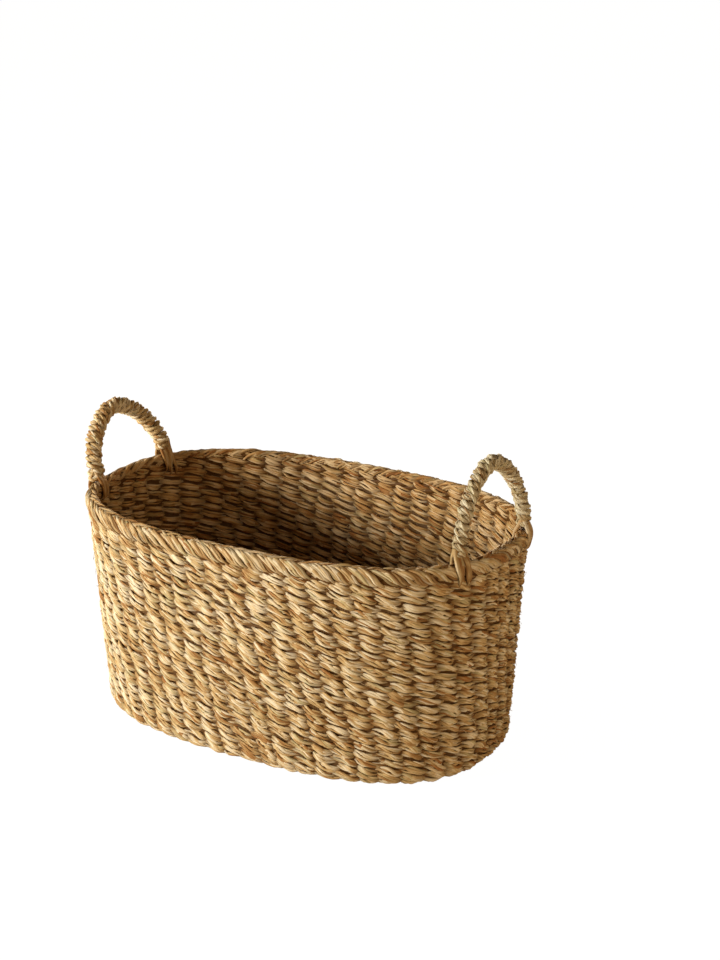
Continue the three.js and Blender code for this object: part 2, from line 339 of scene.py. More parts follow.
def makeGrassGroup(look):
    group = bpy.data.node_groups.new("driedGrass", "ShaderNodeTree")
    sockets = (
        ("INPUT", "NodeSocketVector", ("Map", "Place")),
        ("INPUT", "NodeSocketFloat", ("Tuck", "Inner")),
        ("INPUT", "NodeSocketColor", ("Pale", "Straw", "Tan", "Russet", "Olive", "Shade", "Inner Tint")),
        ("INPUT", "NodeSocketFloat", ("Leaf Length", "Grain", "Stain", "Patch", "Tuck Depth")),
        ("OUTPUT", "NodeSocketColor", ("Color",)),
        ("OUTPUT", "NodeSocketFloat", ("Roughness", "Height")),
    )
    for way, kind, names in sockets:
        for name in names:
            group.interface.new_socket(name, in_out=way, socket_type=kind)
    nodes, links = group.nodes, group.links
    given = nodes.new("NodeGroupInput").outputs
    result = nodes.new("NodeGroupOutput").inputs

    def link(value, socket):
        if isinstance(value, (int, float)):
            socket.default_value = value
        else:
            links.new(value, socket)

    def maths(operation, a, b=0.0, clamp=False):
        node = nodes.new("ShaderNodeMath")
        node.operation = operation
        node.use_clamp = clamp
        link(a, node.inputs[0])
        link(b, node.inputs[1])
        return node.outputs[0]

    def add(a, b):
        return maths("ADD", a, b)

    def times(a, b):
        return maths("MULTIPLY", a, b)

    def centred(value, amount):
        return times(maths("SUBTRACT", value, 0.5), amount)

    def mix(factor, a, b, blend="MIX"):
        node = nodes.new("ShaderNodeMix")
        node.data_type = "RGBA"
        node.blend_type = blend
        link(factor, node.inputs["Factor"])
        links.new(a, node.inputs["A"])
        links.new(b, node.inputs["B"])
        return node.outputs["Result"]

    def combine(x, y, z):
        node = nodes.new("ShaderNodeCombineXYZ")
        for socket, value in zip(node.inputs, (x, y, z)):
            link(value, socket)
        return node.outputs[0]

    def noise(vector, scale, detail, rough):
        node = nodes.new("ShaderNodeTexNoise")
        links.new(vector, node.inputs["Vector"])
        node.inputs["Scale"].default_value = scale
        node.inputs["Detail"].default_value = detail
        node.inputs["Roughness"].default_value = rough
        return node.outputs["Fac"]

    def spread(value, low, high):
        node = nodes.new("ShaderNodeMapRange")
        links.new(value, node.inputs["Value"])
        node.inputs["From Min"].default_value = low
        node.inputs["From Max"].default_value = high
        return node.outputs["Result"]

    parts = nodes.new("ShaderNodeSeparateXYZ")
    links.new(given["Map"], parts.inputs[0])
    owner = maths("FLOOR", parts.outputs["X"])
    around = times(maths("SUBTRACT", parts.outputs["X"], owner), 2 * math.pi)
    along = parts.outputs["Y"]
    # random numbers for each leaf, which ends and starts anew along the strand
    leafAt = add(maths("DIVIDE", along, given["Leaf Length"]), times(owner, look["leafShift"]))
    dice = nodes.new("ShaderNodeTexWhiteNoise")
    dice.noise_dimensions = "2D"
    links.new(combine(maths("FLOOR", leafAt), owner, 0.0), dice.inputs["Vector"])
    leafDice = nodes.new("ShaderNodeSeparateColor")
    links.new(dice.outputs["Color"], leafDice.inputs[0])
    cosine, sine = maths("COSINE", around), maths("SINE", around)
    shift = times(owner, look["strandShift"])

    def leafNoise(ring, stretch, scale, detail, rough):
        at = combine(add(times(cosine, ring), shift), times(sine, ring), times(along, stretch))
        return noise(at, scale, detail, rough)

    def oddLeaves(value, leaves, blotches, strength):
        return times(times(spread(value, *leaves), spread(blotch, *blotches)), strength)

    streak, fine, blotch = (leafNoise(*look[name]) for name in ("streak", "fine", "blotch"))
    area, patch = (noise(given["Place"], *look[name]) for name in ("area", "patch"))
    tone = add(times(dice.outputs["Value"], look["leafTone"]), centred(blotch, look["blotchTone"]))
    tone = add(tone, centred(area, given["Stain"]))
    tone = add(tone, centred(patch, given["Patch"]))
    colour = mix(spread(tone, *look["straw"]), given["Pale"], given["Straw"])
    colour = mix(spread(tone, *look["tan"]), colour, given["Tan"])
    colour = mix(oddLeaves(leafDice.outputs["Red"], *look["russet"]), colour, given["Russet"])
    colour = mix(oddLeaves(leafDice.outputs["Green"], *look["olive"]), colour, given["Olive"])
    fibre = add(times(streak, look["streakShare"]), times(fine, look["fineShare"]))
    fibreTone = add(centred(fibre, given["Grain"]), 1.0)
    colour = mix(1.0, colour, combine(fibreTone, fibreTone, fibreTone), "MULTIPLY")
    # painted shade inside the basket: the inner strands are tinted darker and warmer
    colour = mix(given["Inner"], colour, mix(1.0, colour, given["Inner Tint"], "MULTIPLY"))
    # painted shade: stitch ends, gaps and hidden strands are mixed towards the shade colour
    colour = mix(maths("MULTIPLY", given["Tuck"], given["Tuck Depth"], True), colour, given["Shade"])
    links.new(colour, result["Color"])
    links.new(add(times(fibre, look["roughening"]), look["smoothest"]), result["Roughness"])
    links.new(fibre, result["Height"])
    return group


grassGroup = makeGrassGroup(pattern)

grass = {
    "Pale": (0.80, 0.655, 0.42),
    "Straw": (0.64, 0.435, 0.185),
    "Tan": (0.40, 0.21, 0.068),
    "Russet": (0.33, 0.125, 0.030),
    "Olive": (0.50, 0.42, 0.20),
    # painted shade: the colour that crevices and hidden strands turn to, and the tint of the painted shade
    # inside the basket
    "Shade": (0.100, 0.040, 0.007),
    "Inner Tint": (0.94, 0.72, 0.47),
    "Leaf Length": 0.05,
    "Grain": 1.35,
    "Stain": 0.8,
    "Patch": 0.8,
    "Tuck Depth": 1.0,
}

leafSurface = {
    "bumpDistance": 0.0005,
    "bumpStrength": 0.8,
    "specular": 0.1,
}


def makeGrass(name, **changes):
    material = bpy.data.materials.new(name)
    material.use_nodes = True
    nodes, links = material.node_tree.nodes, material.node_tree.links
    shader = nodes["Principled BSDF"]
    blades = nodes.new("ShaderNodeGroup")
    blades.node_tree = grassGroup
    for key, value in {**grass, **changes}.items():
        blades.inputs[key].default_value = (*value, 1.0) if isinstance(value, tuple) else value
    leafMap = nodes.new("ShaderNodeUVMap")
    leafMap.uv_map = "leafMap"
    links.new(leafMap.outputs["UV"], blades.inputs["Map"])
    place = nodes.new("ShaderNodeTexCoord")
    links.new(place.outputs["Object"], blades.inputs["Place"])
    for attribute, socket in (("tuck", "Tuck"), ("inner", "Inner")):
        value = nodes.new("ShaderNodeAttribute")
        value.attribute_name = attribute
        links.new(value.outputs["Fac"], blades.inputs[socket])
    links.new(blades.outputs["Color"], shader.inputs["Base Color"])
    links.new(blades.outputs["Roughness"], shader.inputs["Roughness"])
    relief = nodes.new("ShaderNodeBump")
    relief.inputs["Distance"].default_value = leafSurface["bumpDistance"]
    relief.inputs["Strength"].default_value = leafSurface["bumpStrength"]
    links.new(blades.outputs["Height"], relief.inputs["Height"])
    links.new(relief.outputs["Normal"], shader.inputs["Normal"])
    shader.inputs["Specular IOR Level"].default_value = leafSurface["specular"]
    return material


def dress(piece, material, nodes):
    piece.data.materials.clear()
    piece.data.materials.append(material)
    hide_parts(*nodes)


def finish(piece, material, nodes, body="basket"):
    dress(piece, material, nodes)
    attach(piece, body)


# Courses: two strands twined round every stake, each of five twisted leaf bundles

course = {
    "stations": 8,  # along the strand from stake to stake
    "swing": 0.0038,  # from the wall's middle to a strand as it passes a stake
    "squareSwing": 0.66,  # under 1, a strand stays out longer and crosses faster
    "slant": 0.0025,
    "innerFlat": 1.4,  # over 1, a strand rises near its crossings and lies level inside the wall
    "bundles": 5,
    "bundleDepth": 0.0025,
    "bundleWidth": 0.0036,
    "openHeight": 0.0029,  # how far the bundles spread up and down over a stake
    "openDepth": 0.0010,
    "gripHeight": 0.0018,  # and between stakes, where the strands cross
    "outerTaper": 0.55,  # under 1, a stitch is blunt and full; over 1, it is a slender lens
    "innerTaper": 1.2,
    "gripDepth": 0.0008,
    "gripGirth": 0.88,
    "innerSize": 0.93,  # the stitches inside are pulled tighter
    "crossingSpread": 0.24,
    "leafCrossing": 0.08,
    "twist": 1.5,  # mean radians from stake to stake, all of it outside the wall
    "twistStray": (60, 0.8),  # changes on the way round, and how large they are
    "girthSpread": 0.22,
    "girthStray": (100, 0.26),
    "stitchLift": 0.0006,
    "stitchDepth": 0.0006,
    "stitchBulge": 0.3,  # how much of that depth a stitch may stand out instead of in
    "leafStray": 0.0008,
    "strayDip": 0.6,  # how far a leaf that strays up or down also sinks in
    "endShade": 0.62,  # painted shade: how dark a stitch is where it dives between stakes
    "endShadePower": 1.3,
    "rimLight": 0.45,  # how much less brown the inner stitches are by the rim than by the floor, as painted inner shade
    "rowWander": (14, 0.0007),
    "columnSwell": 0.0006,
    "shadeFills": 5,  # dark strands that fill the middle of the wall: painted shade, seen through the gaps between stitches
    "shadeFillRise": 0.0020,
    "shadeFillStray": 0.0006,
    "shadeFillGirth": 0.86,
    "shadeFillDarkness": 0.96,
}

columnSwell = np.random.default_rng(11).uniform(-1, 1, form["stakes"])


def twinedLoop(rng, level, out, grow=1.0, roll=0.0):
    look = course
    stakes = form["stakes"]
    count = stakes * look["stations"]
    station = np.arange(count) / look["stations"]
    share = (station + 0.5) / stakes + columnDrift(level)
    column = np.interp(station, np.arange(stakes + 1), np.append(columnSwell, columnSwell[0]))
    rowLevel = level + wander(rng, count, *look["rowWander"])
    crossing = wander(rng, count, stakes, look["crossingSpread"])
    rate = round(look["twist"] * stakes / (2 * math.pi)) * 2 * math.pi / stakes
    stitch = np.round(station).astype(int) % stakes
    strands = []
    for side in (0, 1):
        plump = 1 + look["girthSpread"] * rng.uniform(-1, 1, stakes)[stitch]
        lift = look["stitchLift"] * rng.uniform(-1, 1, stakes)[stitch]
        depth = look["stitchDepth"] * rng.uniform(-1, look["stitchBulge"], stakes)[stitch]
        phase = rng.uniform(0, 2 * math.pi)
        for bundle in range(look["bundles"]):
            # how far round its course the bundle is: out over one stake, in behind the next
            passed = station + side + crossing + wander(rng, count, stakes, look["leafCrossing"])
            swing = np.cos(math.pi * passed)
            bend = np.sin(math.pi * passed)
            inside = swing < 0
            over = np.abs(swing)
            full = over ** np.where(inside, look["innerTaper"], look["outerTaper"])
            size = np.where(inside, 1 - (1 - look["innerSize"]) * over, 1)
            # the middle of the strand
            reach = grow * look["swing"] * over ** look["squareSwing"] + depth * over
            swell = look["columnSwell"] * column * np.sign(swing) * over
            middleOut = np.sign(swing) * reach + swell
            rise = np.where(inside, signedPower(bend, look["innerFlat"]), bend)
            middleUp = -grow * look["slant"] * rise + lift * over
            # the bundle's place in the strand
            spreadUp = size * (look["gripHeight"] + (look["openHeight"] - look["gripHeight"]) * full)
            spreadOut = look["gripDepth"] + (look["openDepth"] - look["gripDepth"]) * over
            whole = np.floor(passed + 0.5)
            spun = np.where(whole % 2 == 0, whole + 2 * (passed + 0.5 - whole), whole + 1)
            angle = phase + 2 * math.pi * bundle / look["bundles"] - rate * spun
            angle = angle + wander(rng, count, *look["twistStray"])
            grip = look["gripGirth"] + (1 - look["gripGirth"]) * full
            girth = grow * size * (1 + (plump - 1) * over) * grip
            girth = girth * (1 + wander(rng, count, *look["girthStray"]))
            stray = wander(rng, count, 2 * stakes, look["leafStray"])
            sink = look["strayDip"] * np.abs(stray) * np.sign(swing) * over
            awayOut = middleOut + grow * spreadOut * np.cos(angle) - sink
            awayUp = middleUp + grow * spreadUp * (1 + (plump - 1) * over) * np.sin(angle) + stray
            points = onRolledWall(share, rowLevel, out, roll, awayOut, awayUp)
            tuck = look["endShade"] * (1 - over) ** look["endShadePower"]
            # painted shade on the inner stitches, strongest by the floor
            innerShade = (1 - look["rimLight"] * level / form["height"]) * inside
            strands.append(strand(points, girth, -angle + roll, tuck, innerShade))
    count = 2 * stakes
    share = (np.arange(count) + 1) / count + columnDrift(level)
    for tail in range(look["shadeFills"]):
        rise = grow * look["shadeFillRise"] * (tail - look["shadeFills"] // 2)
        rise = rise + wander(rng, count, stakes, look["shadeFillStray"])
        points = onRolledWall(share, level, out, roll, 0.0, rise)
        strands.append(strand(points, look["shadeFillGirth"] * grow, roll, look["shadeFillDarkness"]))
    return strands


leafBundle = leafSection("leafBundle", course["bundleDepth"], course["bundleWidth"], 5)
courseGrass = makeGrass("courseGrass")
pitch = (form["wallTop"] - form["floorTop"]) / form["courses"]
courseNumbers = [f"{index + 1:02d}" for index in range(form["courses"])]

for index, number in enumerate(courseNumbers):
    rng = np.random.default_rng(100 + index)
    level = form["floorTop"] + pitch * (index + 0.5)
    piece = sweepStrands(f"course{number}", twinedLoop(rng, level, 0.0), leafBundle, True, "Z_UP")
    finish(piece, courseGrass, [f"course_{number}"])
print("courses woven")

# Stray fibres: short hairs that have worked loose from the courses

fuzz = {
    "count": 260,
    "points": 7,
    "lengths": (0.007, 0.022),
    "girth": 0.00045,
    "girths": (0.7, 1.3),
    "out": 0.0056,
    "root": 0.002,  # how deep a hair starts below that
    "lift": 0.0028,  # how far a loose end stands off
    "lifts": (0.1, 1),
    "steep": 0.9,  # most radians away from the row
    "steepUp": 0.35,  # how much of that it may slant the other way
    "bow": 0.004,
    "lowest": 0.012,  # above the floor
    "outside": 0.8,  # share of the hairs
}

fibre = leafSection("fibre", fuzz["girth"], fuzz["girth"], 4)


def strayFibres(rng, look):
    strands = []
    u = np.linspace(0, 1, look["points"])
    low = form["floorTop"] + look["lowest"]
    for _ in range(look["count"]):
        length = rng.uniform(*look["lengths"])
        slope = rng.uniform(-1, look["steepUp"]) * look["steep"]
        bow = rng.uniform(-look["bow"], look["bow"]) * np.sin(np.pi * u)
        level = rng.uniform(low, form["wallTop"]) + u * length * math.sin(slope) + bow
        share = rng.uniform(0, 1) + u * length * math.cos(slope) / rimOval["length"]
        face = 1 if rng.uniform() < look["outside"] else -1
        out = look["out"] + look["lift"] * rng.uniform(*look["lifts"]) * u ** 2
        out = out - look["root"] * (1 - u) ** 2
        girth = pointed(rng.uniform(*look["girths"]) * np.ones(look["points"]))
        # hairs on the inside get the painted inner shade
        strands.append(strand(onWall(share, level, face * out), girth, 0.0, 0.0, face < 0))
    return strands


fibreGrass = makeGrass("fibreGrass", Straw=(0.74, 0.56, 0.30), Tan=(0.60, 0.40, 0.17))
piece = sweepStrands("strayFibres", strayFibres(np.random.default_rng(5), fuzz), fibre, False, "Z_UP")
finish(piece, fibreGrass, [f"course_{number}" for number in courseNumbers])
print("fibres loosened")

# Base: twined rounds on the bottom edge, plain ones that fill behind them, and twined rows across

base = {
    "rounds": ((0.0116, -0.0002, 0.25, 1.0), (0.0061, -0.0034, 0.9, 0.95)),  # level, out, roll, size
    "fillLevel": 0.0078,
    "fillOuts": (-0.0045, -0.0080, -0.0115),
    "fillGirth": 1.5,
    # the fill strands are painted part of the way to the shade colour, as painted shade behind the rounds,
    # and get the full painted inner shade
    "fillPaintedShade": 0.6,
    "rest": 0.0026,  # no edge strand's middle lies closer to the ground than this
    # inner: painted inner shade, on the rows seen from inside the basket
    "under": {"level": 0.0047, "swing": 0.0019, "reachOut": -0.011, "shift": 0.0, "inner": 0.0},
    "over": {"level": 0.0106, "swing": 0.0017, "reachOut": -0.002, "shift": 0.5, "inner": 1.0},
    "rowPitch": 0.0094,
    "stakePitch": 0.0243,
    "stations": 4,  # along a row from stake to stake
    "fewest": 6,
    "endGap": 0.001,
    "shortest": 0.02,  # a row that reaches less far than this is left out
    "slant": 0.0026,
    "twist": 2.0,
    "spreadUp": 0.0021,
    "spreadGrip": (0.6, 0.4),  # share of the spread between stakes, and what is added over one
    "spreadDepth": 0.0006,
    "girth": 1.05,
    "girthGrip": (0.85, 0.15),
    "girthSpread": 0.12,
    "wobble": (8, 0.0006),
    "shadePower": 1.5,
}

matBundle = leafSection("matBundle", 0.0029, 0.0046, 6)


def matRows(rng, layer, look):
    strands = []
    halfWidth = form["floorHalf"][1] + layer["reachOut"]
    halfLength = form["floorHalf"][0] + layer["reachOut"]
    rows = int(halfWidth / look["rowPitch"])
    for row in range(-rows - 1, rows + 1):
        y = (row + layer["shift"]) * look["rowPitch"]
        share = min(1.0, abs(y) / halfWidth)
        reach = halfLength * (1 - share ** form["squareness"]) ** (1 / form["squareness"]) - look["endGap"]
        if reach < look["shortest"]:
            continue
        count = max(look["fewest"], int(2 * reach / look["stakePitch"] * look["stations"]))
        x = np.linspace(-reach, reach, count)
        station = x / look["stakePitch"] + 0.5
        wobble = wander(rng, count, *look["wobble"], False)
        for side in (0, 1):
            turn = math.pi * (station + side)
            over = np.abs(np.cos(turn))
            plump = 1 + look["girthSpread"] * rng.uniform(-1, 1, count)
            phase = rng.uniform(0, 2 * math.pi)
            for bundle in (0, 1):
                angle = phase + math.pi * bundle - look["twist"] * station
                spread = look["spreadUp"] * (look["spreadGrip"][0] + look["spreadGrip"][1] * over)
                across = y + wobble - look["slant"] * np.sin(turn) + spread * np.sin(angle)
                level = layer["level"] + layer["swing"] * np.cos(turn) + look["spreadDepth"] * np.cos(angle)
                girth = look["girth"] * plump * (look["girthGrip"][0] + look["girthGrip"][1] * over)
                tuck = (1 - over) ** look["shadePower"]
                points = np.stack([x, across, level], 1)
                strands.append(strand(points, pointed(girth), math.pi / 2, tuck, layer["inner"]))
    return strands


def edgeRounds(rng, look):
    strands = []
    for level, out, roll, size in look["rounds"]:
        strands += twinedLoop(rng, level, out, size, roll)
    ring = np.arange(2 * form["stakes"]) / (2 * form["stakes"])
    for out in look["fillOuts"]:
        points = onWall(ring, look["fillLevel"], out)
        strands.append(strand(points, look["fillGirth"], math.pi / 2, look["fillPaintedShade"], 1.0))
    for one in strands:
        one["points"][:, 2] = np.maximum(one["points"][:, 2], look["rest"])
    return strands


baseGrass = makeGrass("baseGrass")
innerGrass = makeGrass("innerGrass")
rng = np.random.default_rng(7)
edge = sweepStrands("baseEdge", edgeRounds(rng, base), leafBundle, True, "Z_UP")
finish(edge, baseGrass, ["base_mat"])
mat = sweepStrands("baseMat", matRows(rng, base["under"], base), matBundle, False, "Z_UP")
finish(mat, baseGrass, ["base_mat"])
floorMat = sweepStrands("floorMat", matRows(rng, base["over"], base), matBundle, False, "Z_UP")
finish(floorMat, innerGrass, ["inner_weave"])
print("base woven")

# Stakes: three thin bundles side by side, up one wall, across the floor and up the other

stake = {
    "endRun": 0.0058,  # level at which the stakes of the short ends cross the floor
    "sideRun": 0.0091,
    "lanes": (-0.0021, 0.0, 0.0021),
    "levels": (0.250, 0.21, 0.17, 0.13, 0.09, 0.055, 0.03),
    "bend": (0.011, 0.004),  # above the floor run, where a stake turns
    "bendIn": -0.0035,
    "runFrom": 0.08,  # shares of the way across at which the straight run starts and ends
    "runTo": 0.92,
    "runPoints": 12,
    # stakes are painted nearly to the shade colour, as painted shade where they show between stitches
    "tuck": 0.92,
}

stakeBundle = leafSection("stakeBundle", 0.0027, 0.0027, 6)


def legLine(leg, runLevel, lane):
    levels = np.array([*stake["levels"], *(runLevel + rise for rise in stake["bend"])])
    share = (leg + 0.5) / form["stakes"] + columnDrift(levels) + lane / perimeter(levels)
    return np.concatenate([onWall(share, levels, 0.0), onWall(share[-1:], runLevel, stake["bendIn"])])


def stakeStrands(fromLeg, toLeg, runLevel):
    strands = []
    for lane in stake["lanes"]:
        up = legLine(fromLeg, runLevel, lane)
        down = legLine(toLeg, runLevel, -lane)[::-1]
        t = np.linspace(stake["runFrom"], stake["runTo"], stake["runPoints"])[:, None]
        points = np.concatenate([up, up[-1] * (1 - t) + down[0] * t, down])
        strands.append(strand(points, pointed(np.ones(len(points))), 0.0, stake["tuck"]))
    return strands


stakeGrass = makeGrass("stakeGrass")


def setStake(kind, number, fromLeg, toLeg, runLevel):
    strands = stakeStrands(fromLeg, toLeg, runLevel)
    piece = sweepStrands(f"stake{kind}{number:02d}", strands, stakeBundle, False)
    finish(piece, stakeGrass, [f"stake_{kind.lower()}_{number:02d}"])


halfEnd = form["endStakes"] // 2
halfRound = form["stakes"] // 2
for leg in range(-halfEnd, halfEnd):
    setStake("Long", leg + halfEnd + 1, leg % form["stakes"], halfRound - 1 - leg, stake["endRun"])
for leg in range(halfEnd, halfRound - halfEnd):
    setStake("Cross", leg - halfEnd + 1, leg, form["stakes"] - 1 - leg, stake["sideRun"])
print("stakes set")

# Border: stake ends laid over the crest, slanting down outside and in, on a core and three twined rounds

border = {
    "middle": 0.2490,
    "halfDepth": 0.0074,
    "halfHeight": 0.0116,
    "fullness": 2.6,
    "outer": {
        "count": 108,
        "leaves": 4,
        "startJitter": (-0.18, 0.18),
        "from": 112.0,  # degrees round the section, from straight out towards the crest
        "to": -66.0,
        "toJitter": (-8, 6),
        "sideRun": 0.033,  # how far a laid strand travels along a long side
        "endRun": 0.046,  # and along a short end
        "runJitter": (0.88, 1.1),
        "sizes": (0.95, 1.15),
        "inset": 0.0020,
        "dip": 0.0026,
    },
    "chain": {
        "count": 81,
        "leaves": 3,
        "startJitter": (-0.1, 0.1),
        "from": 66.0,
        "to": 184.0,
        "toJitter": (-24, 10),
        "sideRun": 0.040,
        "endRun": 0.040,
        "runJitter": (0.9, 1.1),
        "sizes": (0.85, 1.1),
        "inset": 0.0010,
        "dip": 0.004,
    },
    "endFrom": 0.15,  # from the basket's middle to where a short end begins
    "endEase": 0.09,
    "core": {"strands": 7, "turns": 9, "drop": 0.001, "up": 0.0078, "out": 0.0024, "girth": 2.3},
    "innerRounds": ((0.2398, 0.0), (0.2472, -0.0019), (0.2544, -0.0016)),  # level, out
    "roundSize": 0.92,
}

laidLeaf = {
    "stations": 13,
    "spacing": 0.0025,  # between the leaves that lie side by side in one strand
    "pinch": (0.65, 0.35),  # spacing and girth at a strand's ends, and what is added between
    "rollSpread": 0.5,
    "shingle": 0.16,  # how much each strand rides up on the one before
    "depthJitter": (-0.0004, 0.0005),
    "liftJitter": (-0.0005, 0.0006),
    "roll": (0.0007, 2.2, 2.1),  # lift, half turns along the strand, radians from leaf to leaf
    "bend": 0.0007,
    "bendTurns": (1.2, 2.2),
    "bendStart": (0, 3),
    "slope": 0.8,  # the share of a laid strand's width that runs along the rim
    "girths": (0.8, 1.2),
    "tiltJitter": (-0.6, 0.6),
    "gapShade": 0.6,  # painted shade: how dark a strand's outer leaves can be, beside the next strand
    "endShade": 0.9,
    "endShadePower": 1.2,
    # painted inner shade, on the part of a strand that lies inside the basket
    "inner": 0.7,
    "innerFrom": 75,  # degrees
    "innerEase": 50,
}

borderLeaf = leafSection("borderLeaf", 0.0022, 0.0035, 6)


def onBorder(share, angle, inset):
    power = 2 / border["fullness"]
    out = (border["halfDepth"] - inset) * signedPower(np.cos(angle), power)
    level = border["middle"] + (border["halfHeight"] - inset) * signedPower(np.sin(angle), power)
    return onWall(share, level, out)


def laidStrand(rng, layer, start, to, run, size):
    look = laidLeaf
    u = np.linspace(0, 1, look["stations"])
    ends = np.sin(np.pi * u) ** 0.5
    pinch = look["pinch"][0] + look["pinch"][1] * ends
    angle = np.radians(layer["from"] + (to - layer["from"]) * u)
    share = start + run / rimOval["length"] * u
    depth = layer["inset"] + layer["dip"] * (1 - ends) + rng.uniform(*look["depthJitter"])
    roll = rng.uniform(-look["rollSpread"], look["rollSpread"])
    gap = rng.uniform(0.0, 1.0)
    rollLift, rollTurns, rollStep = look["roll"]
    inner = np.clip((angle - math.radians(look["innerFrom"])) / math.radians(look["innerEase"]), 0, 1)
    strands = []
    for one in np.arange(layer["leaves"]) - (layer["leaves"] - 1) / 2:
        away = one * look["spacing"] * size * pinch
        lift = look["shingle"] * away + rollLift * np.cos(rollTurns * u * np.pi + rollStep * one + roll)
        lift = lift + rng.uniform(*look["liftJitter"])
        bendTurns = rng.uniform(*look["bendTurns"])
        bend = look["bend"] * np.sin(np.pi * u * bendTurns + rng.uniform(*look["bendStart"]))
        points = onBorder(share - (away + bend) / rimOval["length"] / look["slope"], angle, depth + lift)
        girth = pointed(size * pinch * rng.uniform(*look["girths"]) * np.ones(look["stations"]))
        besideNext = look["gapShade"] * gap * np.abs(2 * one / (layer["leaves"] - 1)) ** 2
        tuck = np.maximum(look["endShade"] * (1 - ends) ** look["endShadePower"], besideNext)
        tilt = rng.uniform(*look["tiltJitter"]) - angle
        strands.append(strand(points, girth, tilt, tuck, look["inner"] * inner))
    return strands


def borderStrands(rng):
    strands = []
    for layer in (border["outer"], border["chain"]):
        for k in range(layer["count"]):
            start = (k + rng.uniform(*layer["startJitter"])) / layer["count"]
            x = wallMiddle(start, form["readLevel"])[0]
            endness = min(1.0, max(0.0, (abs(x) - border["endFrom"]) / border["endEase"]))
            run = layer["sideRun"] * (1 - endness) + layer["endRun"] * endness
            run *= rng.uniform(*layer["runJitter"])
            to = layer["to"] + rng.uniform(*layer["toJitter"])
            size = rng.uniform(*layer["sizes"])
            strands += laidStrand(rng, layer, start, to, run, size)
    return strands


def coreLoops(look):
    strands = []
    count = 4 * form["stakes"]
    for k in range(look["strands"]):
        start = 2 * math.pi * k / look["strands"]
        turn = start + np.linspace(0, 2 * math.pi * look["turns"], count, endpoint=False)
        level = border["middle"] - look["drop"] + look["up"] * np.sin(turn)
        points = onWall(np.arange(count) / count, level, look["out"] * np.cos(turn))
        # the core is painted fully in the shade colour, as painted shade under the laid strands
        strands.append(strand(points, look["girth"], 0.0, 1.0))
    return strands


def innerRounds(rng):
    strands = []
    for level, out in border["innerRounds"]:
        strands += twinedLoop(rng, level, out, border["roundSize"])
    return strands


rng = np.random.default_rng(21)
borderGrass = makeGrass(
    "borderGrass",
    Pale=(0.72, 0.57, 0.345),
    Straw=(0.56, 0.37, 0.155),
    Tan=(0.34, 0.175, 0.056),
)
laid = sweepStrands("rimBorder", borderStrands(rng), borderLeaf, False, "Z_UP")
core = sweepStrands("rimCore", coreLoops(border["core"]), borderLeaf, True, "Z_UP")
rounds = sweepStrands("rimRounds", innerRounds(rng), leafBundle, True, "Z_UP")
for piece in (laid, core, rounds):
    finish(piece, borderGrass, ["rim_border"])
print("border laid")

# Handles: a hoop of bare strands bound round with two-ply twine

hoop = {
    "halfSpan": 0.0633,
    "squareness": 1.7,
    "left": {
        "side": -1,
        "lean": 21.0,  # degrees outwards
        "top": 0.338,
        "turns": 28,
        "stout": 1.0,
        "below": (0.0105, 0.0045),  # how far the twine goes on under the line the hoop gives about
    },
    "right": {
        "side": 1,
        "lean": -3.0,
        "top": 0.354,
        "turns": 31,
        "stout": 0.87,
        "below": (0.0045, 0.0060),
    },
    "lineSteps": 2000,
    "nearby": 0.002,  # metres to each side that give the hoop's direction
    # the bare core strands are painted most of the way to the shade colour, as painted shade under the twine
    "core": {"strands": 6, "points": 60, "at": 0.0026, "turn": 6.0, "girth": 1.2, "tuck": 0.8},
}

twine = {
    "at": 0.0075,  # from the hoop's middle to the middle of the twine
    "margin": 0.006,  # share of the hoop left bare at each end
    "reach": 0.988,
    "perTurn": 18,
    "slide": 0.0012,
    "swell": 0.0006,
    "plyApart": 0.0021,
    "plyLift": 0.0013,
    "bundles": 3,
    "bundleApart": 0.0011,
    "bundleLift": 0.0007,
    "roundness": 0.0016,  # how far the twine's edges lie below its middle
    "halfWidth": 0.0032,
    "plyTwist": 1.8,  # turns for each turn round the hoop
    "bundleTwist": 2.6,
    "twistStray": (50, 0.6),
    "girth": 0.86,
    "girthStray": (70, 0.16),
    "gapShade": 0.5,
}

twinePly = leafSection("twinePly", 0.0034, 0.0034, 6)
coreLeaf = leafSection("coreLeaf", 0.0038, 0.0038, 6)


def hoopLine(name):
    look = hoop[name]
    joint = next(one for one in frame["joints"] if one["name"] == f"{name}_handle_flex")
    middle = np.array(joint["pos_m"])
    back = look["side"] * np.array(joint["axis"])  # from the front foot to the rear one
    back /= np.linalg.norm(back)
    level = np.cross(back, (0, 0, 1))
    angle = look["side"] * math.radians(look["lean"])
    upward = math.cos(angle) * np.array((0, 0, 1)) + math.sin(angle) * level
    aside = math.cos(angle) * level - math.sin(angle) * np.array((0, 0, 1))
    t = np.linspace(0, 1, hoop["lineSteps"] + 1)
    power = 2 / hoop["squareness"]
    across = -hoop["halfSpan"] * signedPower(np.cos(np.pi * t), power)
    high = (look["top"] - middle[2]) * np.maximum(0, np.sin(np.pi * t)) ** power
    points = middle + across[:, None] * back + high[:, None] * upward
    front, rear = (np.array((0, 0, drop)) for drop in look["below"])
    points = np.concatenate([points[:1] - front, points, points[-1:] - rear])
    along = runningTotal(np.linalg.norm(np.diff(points, axis=0), axis=1))
    feet = {"front": middle - hoop["halfSpan"] * back, "rear": middle + hoop["halfSpan"] * back}
    return {"look": look, "aside": aside, "along": along, "points": points, "feet": feet}


def alongHoop(way, at):
    return np.stack([np.interp(at, way["along"], way["points"][:, i]) for i in range(3)], 1)


def roundHoop(way, at, radial, turn):
    forward = alongHoop(way, at + hoop["nearby"]) - alongHoop(way, at - hoop["nearby"])
    forward /= np.linalg.norm(forward, axis=1)[:, None]
    across = np.cross(way["aside"], forward)
    across /= np.linalg.norm(across, axis=1)[:, None]
    points = alongHoop(way, at) + way["aside"] * (radial * np.cos(turn))[:, None]
    return points + across * (radial * np.sin(turn))[:, None]


